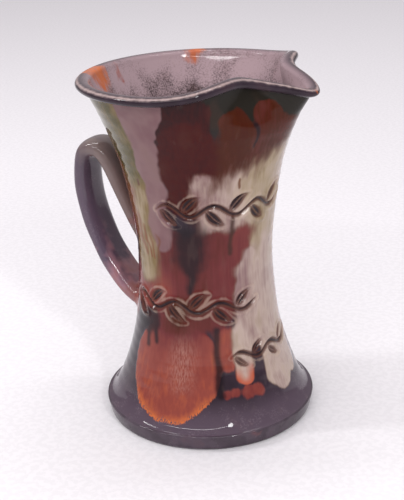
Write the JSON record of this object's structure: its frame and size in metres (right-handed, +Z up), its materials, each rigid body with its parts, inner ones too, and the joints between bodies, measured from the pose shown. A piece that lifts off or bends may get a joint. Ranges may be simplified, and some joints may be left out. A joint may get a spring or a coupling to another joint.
{
  "type": "jug",
  "caption": "Waisted wheel-thrown stoneware jug with a rolled rim, a pulled pouring lip, a strap handle and a flared foot, covered in a glossy running iron glaze.",
  "frame": {"origin": "centre of the flat underside of the foot, on the surface the jug stands on", "axes": "+Z up along the jug's axis, +X towards the pouring lip, handle towards -X"},
  "size_m": [0.1329, 0.1198, 0.1778],
  "materials": {
    "foot_glaze": "gloss",
    "running_glaze": "gloss",
    "handle_glaze": "gloss",
    "upper_luting_glaze": "gloss",
    "lower_luting_glaze": "gloss"
  },
  "bodies": {
    "root": {"foot_plate": "foot_glaze", "thrown_wall": "running_glaze", "handle_strap": "handle_glaze", "upper_luting": "upper_luting_glaze", "lower_luting": "lower_luting_glaze"}
  },
  "joints": []
}
